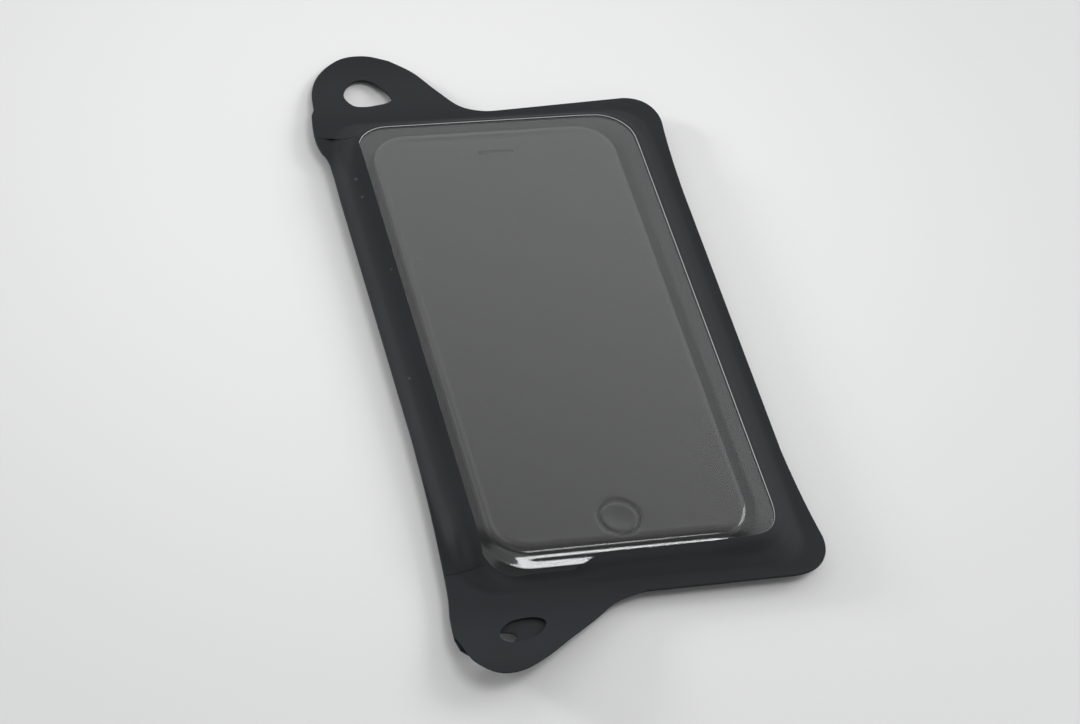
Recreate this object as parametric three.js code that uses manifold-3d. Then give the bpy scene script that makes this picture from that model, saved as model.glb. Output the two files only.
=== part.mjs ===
// A flat waterproof pouch for a pocket handset, in millimetres, +Z up, lying on its back.
// A black front sheet with a large clear window and a black back sheet are welded round the rim.
// Both carry a lug with a cord hole at each end of the left side, where the mouth of the pouch is.
// The mouth is shut by a press-together rib and channel behind a facing strip.
// The handset inside gives the pouch its thickness. +Y runs along it, with its round key at -Y.
// The model is built about the middle of the handset and moved to the middle of its own base last.
import * as THREE from "three";
import { mergeVertices } from "three/addons/utils/BufferGeometryUtils.js";
import Module from "manifold-3d";

const wasm = await Module();
wasm.setup();

// Handset: outer size, corner radius in plan, and the radius of its round sides
const HANDSET_WIDTH = 67;
const HANDSET_LENGTH = 138.1;
const HANDSET_THICKNESS = 6.9;
const HANDSET_CORNER = 10.5;
const HANDSET_SIDE = HANDSET_THICKNESS / 2;
const GLASS_THICKNESS = 0.6;
const KEY_Y = -60.45;
const KEY_RING_RADIUS = 5.4;
const KEY_RADIUS = 4.5;
const KEY_DEPTH = 1.2;
const KEY_WELL_RADIUS = 4.95;
const KEY_TRAVEL = 0.3;
const SPEAKER_Y = 60.15;
const SPEAKER_LENGTH = 9.5;
const SPEAKER_WIDTH = 1.4;
const LENS_X = -9.3;
const LENS_RADIUS = 1.3;

// Sheets: thickness of each layer, and the gap left between layers that touch
const BACK_THICKNESS = 0.4;
const FILM_THICKNESS = 0.35;
const FRAME_THICKNESS = 0.5;
const STRIP_THICKNESS = 0.5;
const GAP = 0.3;
const SHEET_GAP = 0.25;

// Heights of the sheets: the front sheet's underside over the handset and at the rim, the back sheet's at the rim
const HANDSET_BASE = BACK_THICKNESS + GAP;
const HANDSET_TOP = HANDSET_BASE + HANDSET_THICKNESS;
const FRONT_MIDDLE = 8.4;
const FRONT_RIM = 3.5;
const BACK_RIM = 2.8;
const MOUTH_FRONT_RISE = 0.7;
const MOUTH_BACK_DROP = 0.6;

// Rectangles in plan: flat glass under the film, flat back, inner edge of the weld, window, film
const FLAT_FRONT = { left: -31.8, right: 31.8, bottom: -66.7, top: 66.7, corner: 8.2 };
const FLAT_BACK = { left: -30.5, right: 30.5, bottom: -66, top: 66, corner: 8 };
const WELD = { left: -41.5, right: 45.2, bottom: -76.5, top: 76.2, corner: 9 };
const WINDOW = { left: -35.6, right: 39.2, bottom: -73, top: 73.4, corner: 9 };
const FILM = { left: -36.6, right: 42, bottom: -75, top: 75.1, corner: 11 };
const STRIP_EDGE = -34.7;
const STRIP_TOP = [68.3, 70.1];
const STRIP_BOTTOM = -69.5;

// Lugs: where they leave the rim, and how far their tips are lifted
const LUG_TOP_FOOT = 79;
const LUG_BOTTOM_FOOT = -80;
const LUG_REACH = 21;
const TOP_LIFT = 0.3;
const BOTTOM_FRONT_LIFT = 4;
const BOTTOM_BACK_LIFT = 1.2;
const BOTTOM_HOLE_FRONT = [0.5, 1.1];
const BOTTOM_HOLE_BACK = [-3.1, -0.1];

// Closure inside the mouth
const CLOSURE_X = -39;
const CLOSURE_HALF_LENGTH = 62;
const CLOSURE_HALF_WIDTH = 1.3;
const CLOSURE_WALL = 0.35;
const CHANNEL_FLOOR = 2.65;
const CHANNEL_HEIGHT = 0.9;
const MOUTH_END = 63;

const CORNER_STEPS = 6;
const CURVE_STEPS = 4;

const clamp = (value, low, high) => Math.min(Math.max(value, low), high);
const smooth = (value) => {
  const t = clamp(value, 0, 1);
  return t * t * (3 - 2 * t);
};

// Distance from a rounded rectangle in plan, negative inside it
function distanceTo(x, y, area) {
  const dx = Math.max(area.left - x, x - area.right) + area.corner;
  const dy = Math.max(area.bottom - y, y - area.top) + area.corner;
  return Math.hypot(Math.max(dx, 0), Math.max(dy, 0)) + Math.min(Math.max(dx, dy), 0) - area.corner;
}

// 0 on the flat middle, 1 from the weld outwards
function towardsRim(x, y, flat) {
  const out = Math.max(distanceTo(x, y, flat), 0);
  const left = Math.max(-distanceTo(x, y, WELD), 0);
  return out / (out + left);
}

// 1 along the open mouth on the left, 0 elsewhere
function alongMouth(x, y) {
  return smooth((-x - 33.5) / 4) * (1 - smooth((Math.abs(y) - MOUTH_END) / 9));
}

// Lift of a lug's tip above the rim
function lift(y, bottomLift) {
  const upper = TOP_LIFT * smooth((y - LUG_TOP_FOOT) / LUG_REACH);
  const lower = bottomLift * smooth((LUG_BOTTOM_FOOT - y) / LUG_REACH);
  return upper + lower;
}

// 1 beside the handset's straight left side, 0 at its corners and elsewhere
function besideMouth(x, y) {
  return clamp((-x - 22) / 9, 0, 1) * (1 - smooth((Math.abs(y) - 46) / 10));
}

// Underside of the front sheet: steeper beside the handset on the mouth's side
function frontAt(x, y) {
  const bend = 1.15 - 0.45 * besideMouth(x, y);
  const fall = Math.pow(towardsRim(x, y, FLAT_FRONT), bend);
  const height = FRONT_MIDDLE + (FRONT_RIM - FRONT_MIDDLE) * fall;
  return height + MOUTH_FRONT_RISE * alongMouth(x, y) + lift(y, BOTTOM_FRONT_LIFT);
}

// Underside of the back sheet: flat under the handset, rising to the rim
function backAt(x, y) {
  const bend = 1.3 + 0.5 * clamp((-x - 22) / 9, 0, 1);
  const rise = BACK_RIM * Math.pow(towardsRim(x, y, FLAT_BACK), bend);
  return rise - MOUTH_BACK_DROP * alongMouth(x, y) + lift(y, BOTTOM_BACK_LIFT);
}

// Grid lines from stop to stop, each stretch in equal steps
function lines(stops, steps) {
  const made = [stops[0]];
  steps.forEach((count, i) => {
    for (let k = 1; k <= count; k++) {
      made.push(stops[i] + ((stops[i + 1] - stops[i]) * k) / count);
    }
  });
  return made;
}

const { left: FLAT_LEFT, right: FLAT_RIGHT, bottom: FLAT_BOTTOM, top: FLAT_TOP } = FLAT_FRONT;
const ACROSS = lines([-51, -43.5, -36.6, FLAT_LEFT, -23.5, 23.5, FLAT_RIGHT, 45.2, 53], [1, 4, 3, 3, 1, 3, 5, 1]);
const ALONG = lines([-104, -80, FLAT_BOTTOM, -58.5, -46, 46, 58.5, FLAT_TOP, 79, 104], [4, 6, 3, 1, 1, 1, 3, 5, 3]);

// A closed geometry as a solid that can be joined and cut
function solidOf(geometry) {
  const bare = geometry.clone();
  bare.deleteAttribute("normal");
  bare.deleteAttribute("uv");
  const merged = mergeVertices(bare, 1e-4);
  const vertProperties = new Float32Array(merged.attributes.position.array);
  const triVerts = new Uint32Array(merged.index.array);
  return new wasm.Manifold(new wasm.Mesh({ numProp: 3, vertProperties, triVerts }));
}

function geometryOf(solid) {
  const made = solid.getMesh();
  const geometry = new THREE.BufferGeometry();
  geometry.setAttribute("position", new THREE.BufferAttribute(made.vertProperties, 3));
  geometry.setIndex(new THREE.BufferAttribute(made.triVerts, 1));
  geometry.computeVertexNormals();
  return geometry;
}

// A sheet over the whole grid, from a height function, as a closed slab
function sheet(undersideAt, thickness) {
  const wide = ACROSS.length;
  const level = wide * ALONG.length;
  const points = [];
  for (const rise of [0, thickness]) {
    for (const y of ALONG) {
      for (const x of ACROSS) points.push(x, y, undersideAt(x, y) + rise);
    }
  }
  const faces = [];
  const quad = (a, b, c, d) => faces.push(a, b, c, a, c, d);
  for (let j = 0; j < ALONG.length - 1; j++) {
    for (let i = 0; i < wide - 1; i++) {
      const a = j * wide + i;
      quad(a, a + wide, a + wide + 1, a + 1);
      quad(level + a, level + a + 1, level + a + wide + 1, level + a + wide);
    }
  }
  for (let i = 0; i < wide - 1; i++) {
    const far = level - wide + i;
    quad(i, i + 1, level + i + 1, level + i);
    quad(far + 1, far, level + far, level + far + 1);
  }
  for (let j = 0; j < ALONG.length - 1; j++) {
    const near = j * wide;
    const far = near + wide - 1;
    quad(near + wide, near, level + near, level + near + wide);
    quad(far, far + wide, level + far + wide, level + far);
  }
  const geometry = new THREE.BufferGeometry();
  geometry.setAttribute("position", new THREE.Float32BufferAttribute(points, 3));
  geometry.setIndex(faces);
  return solidOf(geometry);
}

// A flat outline as a tall upright block, for cutting sheets
function block(shape) {
  const geometry = new THREE.ExtrudeGeometry(shape, {
    depth: 40,
    bevelEnabled: false,
    curveSegments: CURVE_STEPS,
  });
  geometry.translate(0, 0, -12);
  return solidOf(geometry);
}

function points(...pairs) {
  return pairs.map(([x, y]) => new THREE.Vector2(x, y));
}

// Edge of the lower lug, from its outer left corner to the rim, in each sheet: the back one stops shorter
const FRONT_LOWER_LUG = [
  [-46.2, -91],
  [-44.9, -96.6],
  [-40.5, -100.6],
  [-34.7, -100.9],
  [-27.8, -97.8],
  [-20.3, -92.5],
  [-13, -87.3],
  [-5.5, -81.9],
  [2.5, -79.5],
];
const BACK_LOWER_LUG = [
  [-46.3, -91.2],
  [-43.2, -94.4],
  [-39.6, -97.4],
  [-34.9, -98.2],
  [-28.3, -95.4],
  [-21, -90.6],
  [-13.8, -85.7],
  [-6.2, -81],
  [2.5, -79.5],
];

// Outer edge of a sheet, counterclockwise from the lower right
function sheetOutline(lowerLug) {
  const shape = new THREE.Shape();
  shape.moveTo(48, -42);
  shape.lineTo(48.05, 45);
  shape.quadraticCurveTo(48.3, 60, 49.4, 70.5);
  shape.bezierCurveTo(49.7, 76.5, 46, 80.9, 39.5, 80.3);
  shape.lineTo(8, 78.6);
  shape.splineThru(points([1.8, 78.6], [-4.1, 80.9], [-9.1, 87.2], [-14, 94.2], [-19.5, 98.9]));
  shape.splineThru(points([-25.6, 101.1], [-32.4, 100.4], [-38.7, 95.8], [-42.1, 89.9], [-43.1, 82.5]));
  shape.lineTo(-44, 80.8);
  shape.splineThru(points([-44.9, 74.5], [-44.7, 68.3], [-43.6, 61], [-43.1, 50]));
  shape.lineTo(-43, -28);
  shape.splineThru(points([-43.5, -46], [-44.3, -61], [-45.3, -74.7], [-46.4, -81.5], [-46.9, -88]));
  shape.lineTo(...lowerLug[0]);
  shape.splineThru(points(...lowerLug.slice(1)));
  shape.lineTo(38, -79.4);
  shape.bezierCurveTo(46.5, -79.8, 50.6, -75.5, 50.3, -69);
  shape.quadraticCurveTo(48.6, -57, 48, -42);
  return shape;
}

// Teardrop cord hole of the top lug
function topHole() {
  const shape = new THREE.Shape();
  shape.moveTo(-34, 87);
  shape.splineThru(points([-32.2, 90.6], [-28.2, 92.4], [-24.6, 90.4], [-22, 86.6]));
  shape.quadraticCurveTo(-21.2, 84.2, -23.4, 83.5);
  shape.splineThru(points([-28, 82.4], [-32.2, 82.5], [-34, 87]));
  return shape;
}

// Cord hole of the bottom lug, moved by the given offset
function bottomHole([dx, dy]) {
  const at = (x, y) => [x + dx, y + dy];
  const shape = new THREE.Shape();
  shape.moveTo(...at(-37, -91));
  shape.splineThru(points(at(-35.8, -92.5), at(-33.4, -93), at(-30.6, -92.3), at(-27.8, -91), at(-25.6, -88.6)));
  shape.splineThru(points(at(-24.9, -86.8), at(-26.4, -85.5), at(-29.6, -85.2), at(-33.4, -86), at(-36.1, -88.2)));
  shape.lineTo(...at(-37, -91));
  return shape;
}

function roundedRectangle(area) {
  const { left, right, bottom, top, corner } = area;
  const shape = new THREE.Shape();
  shape.moveTo(left + corner, bottom);
  shape.lineTo(right - corner, bottom);
  shape.absarc(right - corner, bottom + corner, corner, -Math.PI / 2, 0);
  shape.lineTo(right, top - corner);
  shape.absarc(right - corner, top - corner, corner, 0, Math.PI / 2);
  shape.lineTo(left + corner, top);
  shape.absarc(left + corner, top - corner, corner, Math.PI / 2, Math.PI);
  shape.lineTo(left, bottom + corner);
  shape.absarc(left + corner, bottom + corner, corner, Math.PI, 1.5 * Math.PI);
  return shape;
}

// Window opening: its lower edge steps up to the handset's end right of the middle
function windowOutline() {
  const { left, right, bottom, top, corner } = WINDOW;
  const shape = new THREE.Shape();
  shape.moveTo(left + corner, bottom);
  shape.lineTo(-11, bottom);
  shape.lineTo(-5, -70);
  shape.lineTo(28, -69.8);
  shape.bezierCurveTo(35.5, -69.6, right, -67.5, right, -60);
  shape.lineTo(right, top - corner);
  shape.absarc(right - corner, top - corner, corner, 0, Math.PI / 2);
  shape.lineTo(left + corner, top);
  shape.absarc(left + corner, top - corner, corner, Math.PI / 2, Math.PI);
  shape.lineTo(left, bottom + corner);
  shape.absarc(left + corner, bottom + corner, corner, Math.PI, 1.5 * Math.PI);
  return shape;
}

// A closed body of stacked rounded-rectangle rings, each given as its inset from the outer size and its height
function roundedBody(width, length, corner, rings) {
  const perRing = 4 * (CORNER_STEPS + 1);
  const vertices = [];
  for (const [inset, z] of rings) {
    const radius = Math.max(corner - inset, 0.5);
    for (let k = 0; k < 4; k++) {
      const signX = k === 0 || k === 3 ? 1 : -1;
      const signY = k < 2 ? 1 : -1;
      const cx = signX * (width / 2 - inset - radius);
      const cy = signY * (length / 2 - inset - radius);
      for (let i = 0; i <= CORNER_STEPS; i++) {
        const angle = ((k + i / CORNER_STEPS) * Math.PI) / 2;
        vertices.push(cx + radius * Math.cos(angle), cy + radius * Math.sin(angle), z);
      }
    }
  }
  const foot = vertices.length / 3;
  vertices.push(0, 0, rings[0][1]);
  vertices.push(0, 0, rings[rings.length - 1][1]);
  const faces = [];
  const last = (rings.length - 1) * perRing;
  for (let i = 0; i < perRing; i++) {
    const next = (i + 1) % perRing;
    for (let r = 0; r < rings.length - 1; r++) {
      const low = r * perRing;
      const high = low + perRing;
      faces.push(low + i, low + next, high + next, low + i, high + next, high + i);
    }
    faces.push(foot, next, i);
    faces.push(foot + 1, last + i, last + next);
  }
  const geometry = new THREE.BufferGeometry();
  geometry.setAttribute("position", new THREE.Float32BufferAttribute(vertices, 3));
  geometry.setIndex(faces);
  return solidOf(geometry);
}

// A round post along Z
function post(radius, low, high, x, y) {
  const geometry = new THREE.CylinderGeometry(radius, radius, high - low, 32);
  geometry.rotateX(Math.PI / 2);
  geometry.translate(x, y, (low + high) / 2);
  return solidOf(geometry);
}

// A slot with round ends along X, as a solid from low to high
function slot(length, width, low, high, y) {
  const half = (length - width) / 2;
  const shape = new THREE.Shape();
  shape.absarc(half, 0, width / 2, -Math.PI / 2, Math.PI / 2);
  shape.absarc(-half, 0, width / 2, Math.PI / 2, 1.5 * Math.PI);
  const geometry = new THREE.ExtrudeGeometry(shape, { depth: high - low, bevelEnabled: false, curveSegments: 8 });
  geometry.translate(0, y, low);
  return solidOf(geometry);
}

// A ring or disc about Z from its half section
function turned(section, x, y) {
  const geometry = new THREE.LatheGeometry(points(...section), 32);
  geometry.rotateX(Math.PI / 2);
  geometry.translate(x, y, 0);
  return geometry;
}

// A section in X and Z carried along the mouth
function carried(section) {
  const shape = new THREE.Shape(points(...section));
  const geometry = new THREE.ExtrudeGeometry(shape, { depth: 2 * CLOSURE_HALF_LENGTH, bevelEnabled: false });
  geometry.rotateX(Math.PI / 2);
  geometry.translate(0, CLOSURE_HALF_LENGTH, 0);
  return geometry;
}

const frontEdge = block(sheetOutline(FRONT_LOWER_LUG));
const backEdge = block(sheetOutline(BACK_LOWER_LUG));

function makeFrame() {
  const holes = block(topHole()).add(block(bottomHole(BOTTOM_HOLE_FRONT)));
  const cut = frontEdge.subtract(holes).subtract(block(windowOutline()));
  return geometryOf(sheet(frontAt, FRAME_THICKNESS).intersect(cut));
}

function makeBack() {
  const holes = block(topHole()).add(block(bottomHole(BOTTOM_HOLE_BACK)));
  return geometryOf(sheet(backAt, BACK_THICKNESS).intersect(backEdge.subtract(holes)));
}

function makeFilm() {
  const underFrame = (x, y) => frontAt(x, y) - SHEET_GAP - FILM_THICKNESS;
  return geometryOf(sheet(underFrame, FILM_THICKNESS).intersect(block(roundedRectangle(FILM))));
}

function makeStrip() {
  const overFrame = (x, y) => frontAt(x, y) + FRAME_THICKNESS + SHEET_GAP;
  const [topLeft, topRight] = STRIP_TOP;
  const reach = new THREE.Shape(
    points([STRIP_EDGE, topRight], [-52, topLeft], [-52, STRIP_BOTTOM], [STRIP_EDGE, STRIP_BOTTOM]),
  );
  return geometryOf(sheet(overFrame, STRIP_THICKNESS).intersect(frontEdge).intersect(block(reach)));
}

// Rib: a base along the front sheet with a stem and an arrow head in the channel
function makeRib() {
  const under = (offset) => [CLOSURE_X + offset, frontAt(CLOSURE_X + offset, 0) - SHEET_GAP];
  const below = (offset) => [CLOSURE_X + offset, frontAt(CLOSURE_X + offset, 0) - SHEET_GAP - CLOSURE_WALL];
  const neck = CHANNEL_FLOOR + CHANNEL_HEIGHT - 0.25;
  const w = CLOSURE_HALF_WIDTH;
  return carried([
    under(-w),
    below(-w),
    below(-0.28),
    [CLOSURE_X - 0.28, neck],
    [CLOSURE_X - 0.28, neck - 0.1],
    [CLOSURE_X - 0.7, neck - 0.25],
    [CLOSURE_X, CHANNEL_FLOOR + 0.2],
    [CLOSURE_X + 0.7, neck - 0.25],
    [CLOSURE_X + 0.28, neck - 0.1],
    below(0.28),
    below(w),
    under(w),
  ]);
}

// Channel: a base along the back sheet with two hooked walls
function makeChannel() {
  const over = (offset) => {
    const x = CLOSURE_X + offset;
    return [x, backAt(x, 0) + BACK_THICKNESS + SHEET_GAP];
  };
  const w = CLOSURE_HALF_WIDTH;
  const inner = w - CLOSURE_WALL;
  const top = CHANNEL_FLOOR + CHANNEL_HEIGHT;
  return carried([
    over(-w),
    over(w),
    [CLOSURE_X + w, top],
    [CLOSURE_X + 0.55, top],
    [CLOSURE_X + 0.55, top - 0.2],
    [CLOSURE_X + inner, top - 0.35],
    [CLOSURE_X + inner, CHANNEL_FLOOR],
    [CLOSURE_X - inner, CHANNEL_FLOOR],
    [CLOSURE_X - inner, top - 0.35],
    [CLOSURE_X - 0.55, top - 0.2],
    [CLOSURE_X - 0.55, top],
    [CLOSURE_X - w, top],
  ]);
}

// Side profile of the handset: a half circle, from its lowest ring to the given height
function sideRings(lowest, highest, steps) {
  const middle = HANDSET_BASE + HANDSET_SIDE;
  const rings = [];
  for (let i = 0; i <= steps; i++) {
    const z = lowest + ((highest - lowest) * (1 - Math.cos((Math.PI * i) / steps))) / 2;
    const across = Math.sqrt(Math.max(HANDSET_SIDE ** 2 - (z - middle) ** 2, 0));
    rings.push([HANDSET_SIDE - across, z]);
  }
  return rings;
}

function makeHousing() {
  const top = HANDSET_TOP - GLASS_THICKNESS - GAP;
  const rings = sideRings(HANDSET_BASE, top, 8);
  const body = roundedBody(HANDSET_WIDTH, HANDSET_LENGTH, HANDSET_CORNER, rings);
  const well = HANDSET_TOP - KEY_DEPTH - KEY_TRAVEL - GAP;
  return geometryOf(body.subtract(post(KEY_WELL_RADIUS, well, top + 1, 0, KEY_Y)));
}

function makeGlass() {
  const rings = sideRings(HANDSET_TOP - GLASS_THICKNESS, HANDSET_TOP, 4);
  const plate = roundedBody(HANDSET_WIDTH, HANDSET_LENGTH, HANDSET_CORNER, rings);
  const low = HANDSET_TOP - 2;
  const high = HANDSET_TOP + 1;
  const openings = post(KEY_RING_RADIUS + GAP, low, high, 0, KEY_Y)
    .add(slot(SPEAKER_LENGTH + GAP, SPEAKER_WIDTH + GAP, low, high, SPEAKER_Y))
    .add(post(LENS_RADIUS + GAP, low, high, LENS_X, SPEAKER_Y));
  return geometryOf(plate.subtract(openings));
}

// Key with a dished face; it slides down in its well
function makeKey() {
  const top = HANDSET_TOP - 0.1;
  const section = [[0, top - KEY_DEPTH], [KEY_RADIUS, top - KEY_DEPTH], [KEY_RADIUS, top]];
  return turned([...section, [KEY_RADIUS - 0.8, top - 0.08], [KEY_RADIUS / 2, top - 0.22], [0, top - 0.28]], 0, KEY_Y);
}

function makeKeyRing() {
  const low = HANDSET_TOP - GLASS_THICKNESS;
  const inner = KEY_RADIUS + 0.2;
  const top = HANDSET_TOP + 0.05;
  return turned(
    [[inner, low], [KEY_RING_RADIUS, low], [KEY_RING_RADIUS, top], [inner + 0.15, top], [inner, top - 0.15], [inner, low]],
    0,
    KEY_Y,
  );
}

function makeSpeakerMesh() {
  const low = HANDSET_TOP - GLASS_THICKNESS;
  return geometryOf(slot(SPEAKER_LENGTH - GAP, SPEAKER_WIDTH - GAP, low, HANDSET_TOP - 0.2, SPEAKER_Y));
}

function makeLens() {
  const low = HANDSET_TOP - GLASS_THICKNESS;
  return turned([[0, low], [LENS_RADIUS, low], [LENS_RADIUS, HANDSET_TOP - 0.1], [0, HANDSET_TOP - 0.05]], LENS_X, SPEAKER_Y);
}

const pouch = new THREE.Group();

function addPiece(name, geometry, color, roughness, metalness) {
  const material = new THREE.MeshStandardMaterial({ color, roughness, metalness });
  const mesh = new THREE.Mesh(geometry, material);
  mesh.name = name;
  pouch.add(mesh);
}

addPiece("back_panel", makeBack(), 0x303336, 0.6, 0);
addPiece("front_frame", makeFrame(), 0x34373a, 0.6, 0);
addPiece("window_film", makeFilm(), 0x9a9c9e, 0.15, 0);
addPiece("closure_strip", makeStrip(), 0x34373a, 0.6, 0);
addPiece("closure_rib", makeRib(), 0x303336, 0.5, 0);
addPiece("closure_channel", makeChannel(), 0x303336, 0.5, 0);
addPiece("phone_housing", makeHousing(), 0x2a2b2d, 0.35, 0.6);
addPiece("phone_glass", makeGlass(), 0x0c0d0e, 0.05, 0);
addPiece("phone_home_key", makeKey(), 0x18191a, 0.3, 0);
addPiece("phone_home_ring", makeKeyRing(), 0x5a5c5e, 0.3, 0.9);
addPiece("phone_speaker_mesh", makeSpeakerMesh(), 0x202122, 0.5, 0.7);
addPiece("phone_front_lens", makeLens(), 0x101216, 0.1, 0);

const part = new THREE.Group();
part.add(pouch);
const box = new THREE.Box3().setFromObject(pouch, true);
const middle = box.getCenter(new THREE.Vector3());
pouch.position.set(-middle.x, -middle.y, -box.min.z);

export default part;
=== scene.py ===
"""The looks of a flat waterproof pouch with a pocket handset in it, lying on a pale floor.

Every shape is worked out in millimetres about the middle of the handset, with the same heights and
outlines as the solids, and put into its mesh in metres in the part's frame.
"""
import math

import bmesh
import bpy
import numpy as np
from mathutils import Matrix
from mathutils.geometry import delaunay_2d_cdt


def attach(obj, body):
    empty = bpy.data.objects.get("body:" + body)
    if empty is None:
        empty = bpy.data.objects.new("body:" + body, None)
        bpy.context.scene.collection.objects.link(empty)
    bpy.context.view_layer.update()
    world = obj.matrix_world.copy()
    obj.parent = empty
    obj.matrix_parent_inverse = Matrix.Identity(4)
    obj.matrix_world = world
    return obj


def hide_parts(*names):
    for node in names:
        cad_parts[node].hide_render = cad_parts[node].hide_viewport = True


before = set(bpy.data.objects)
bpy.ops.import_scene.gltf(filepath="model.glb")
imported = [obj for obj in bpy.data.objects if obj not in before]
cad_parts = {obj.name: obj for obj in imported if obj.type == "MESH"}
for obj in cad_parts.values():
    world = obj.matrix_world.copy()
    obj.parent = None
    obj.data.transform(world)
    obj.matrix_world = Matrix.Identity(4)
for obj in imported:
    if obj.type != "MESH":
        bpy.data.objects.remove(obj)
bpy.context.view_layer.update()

MM = 0.001
TINY = 1e-6
# Middle of the handset in the part's frame, in millimetres
ORIGIN = np.array([-1.700, -0.0157, 0.0])

# Handset
WIDTH, LENGTH, THICK, CORNER = 67.0, 138.1, 6.9, 10.5
SIDE = THICK / 2
GLASS = 0.6
KEY_Y, RING_RADIUS, KEY_RADIUS, KEY_DEPTH = -60.45, 5.4, 4.5, 1.2
SPEAKER_Y, SPEAKER_LONG, SPEAKER_WIDE = 60.15, 9.5, 1.4
LENS_X, LENS_RADIUS = -9.3, 1.3

# Sheets
BACK_THICK, FILM_THICK = 0.4, 0.35
GAP, SHEET_GAP = 0.3, 0.25
HANDSET_BASE = BACK_THICK + GAP
HANDSET_TOP = HANDSET_BASE + THICK
FRONT_MIDDLE, FRONT_RIM, BACK_RIM = 8.4, 3.5, 2.8
TOP_FOOT, BOTTOM_FOOT, LUG_REACH = 79.0, -80.0, 21.0
TOP_LIFT, FRONT_LIFT, BACK_LIFT = 0.3, 4.0, 1.2
# Mouth on the left side: rise of the front sheet and drop of the back sheet there, where both begin
# across and over what width, where they end along and over what length they fade
MOUTH_RISE, MOUTH_DROP = 0.7, 0.6
MOUTH_FROM, MOUTH_WIDE, MOUTH_END, MOUTH_FADE = 33.5, 4, 63.0, 9
# The sheets bend otherwise beside the mouth: from where across and over what width, where this ends
# along and over what length it fades
BESIDE_FROM, BESIDE_WIDE, BESIDE_END, BESIDE_FADE = 22, 9, 46, 10
# Powers that bend the way to the rim, and what the mouth's side changes in them
FRONT_POWER, FRONT_LESS, BACK_POWER, BACK_MORE = 1.15, 0.45, 1.3, 0.5

# Rectangles in plan as left, right, bottom, top, corner
FLAT_FRONT = (-31.8, 31.8, -66.7, 66.7, 8.2)
FLAT_BACK = (-30.5, 30.5, -66.0, 66.0, 8.0)
WELD = (-41.5, 45.2, -76.5, 76.2, 9.0)
WINDOW = (-35.9, 38.9, -73.0, 71.4, 9.0)
FILM = (-37.6, 42.0, -75.0, 75.1, 11.0)


# Heights of the sheets in the solids

def ease(value):
    """A smooth step: 3 t squared - 2 t cubed, with t held between 0 and 1."""
    t = np.clip(value, 0, 1)
    return t * t * (3 - 2 * t)


def distance_to(x, y, area):
    """Signed distance to a rounded rectangle, negative inside it."""
    left, right, bottom, top, corner = area
    dx = np.maximum(left - x, x - right) + corner
    dy = np.maximum(bottom - y, y - top) + corner
    outside = np.hypot(np.maximum(dx, 0), np.maximum(dy, 0))
    return outside + np.minimum(np.maximum(dx, dy), 0) - corner


def towards_rim(x, y, flat):
    """0 on the flat middle, 1 from the weld outwards, in proportion between the two."""
    out = np.maximum(distance_to(x, y, flat), 0)
    left = np.maximum(-distance_to(x, y, WELD), 0)
    return out / np.maximum(out + left, TINY)


def along_mouth(x, y):
    """1 at the mouth, falling smoothly to 0 inwards and past its two ends."""
    return ease((-x - MOUTH_FROM) / MOUTH_WIDE) * (1 - ease((np.abs(y) - MOUTH_END) / MOUTH_FADE))


def beside_mouth(x):
    """0 over the handset and 1 at its left side, in proportion between the two."""
    return np.clip((-x - BESIDE_FROM) / BESIDE_WIDE, 0, 1)


def lift(y, bottom_lift):
    """Rise of each lug, smooth from its foot to its tip."""
    top = TOP_LIFT * ease((y - TOP_FOOT) / LUG_REACH)
    return top + bottom_lift * ease((BOTTOM_FOOT - y) / LUG_REACH)


def front_at(x, y):
    """Underside of the front sheet: from the flat middle down to the rim, steeper beside the mouth."""
    beside = beside_mouth(x) * (1 - ease((np.abs(y) - BESIDE_END) / BESIDE_FADE))
    fall = towards_rim(x, y, FLAT_FRONT) ** (FRONT_POWER - FRONT_LESS * beside)
    height = FRONT_MIDDLE + (FRONT_RIM - FRONT_MIDDLE) * fall
    return height + MOUTH_RISE * along_mouth(x, y) + lift(y, FRONT_LIFT)


def back_at(x, y):
    """Underside of the back sheet: flat under the handset, rising to the rim."""
    rise = BACK_RIM * towards_rim(x, y, FLAT_BACK) ** (BACK_POWER + BACK_MORE * beside_mouth(x))
    return rise - MOUTH_DROP * along_mouth(x, y) + lift(y, BACK_LIFT)


# Height of the window's film

HANDSET_EDGE = (-WIDTH / 2, WIDTH / 2, -LENGTH / 2, LENGTH / 2, CORNER)
# The film leaves the glass this far inside the handset's edge
CONTACT = 5.5
FILM_LEVEL = 8.1
# Tilt of the film in degrees at distances beyond the line where it leaves the glass, on each side
TILTS = {
    "left": ((0, 0), (2.8, 0), (3.3, -5), (3.8, -2), (4.3, 0.5), (14, 1.5)),
    "right": ((0, 0), (3.0, 0), (3.5, 2), (4.0, 0.5), (6.0, -1.5), (6.6, 1), (7.4, 9), (14, 11)),
    "bottom": ((0, 0), (1.0, 0), (1.4, -1.5), (1.8, 1), (5.3, 8), (5.8, 20), (6.1, 23), (6.4, 30), (6.7, 30),
               (6.95, 25), (8.3, 22), (8.7, 44), (10, 44), (14, 20)),
    "top": ((0, 0), (0.4, 2), (0.9, 0), (1.8, -1), (2.4, -2), (3.2, 4), (4.3, 9), (14, 11)),
}
FALL_REACH, FALL_STEPS = 20, 801
# Between these places across, the lower end takes over a share of the right side's gentler fall
GENTLE_FROM, GENTLE_TO, GENTLE_SHARE = 20, 31, 0.6
# Dip round the key: its depth, how far inside the ring's outer edge it lies, and its spread
DIMPLE, DIMPLE_IN, DIMPLE_SPREAD = 0.07, 0.4, 0.7


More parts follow.
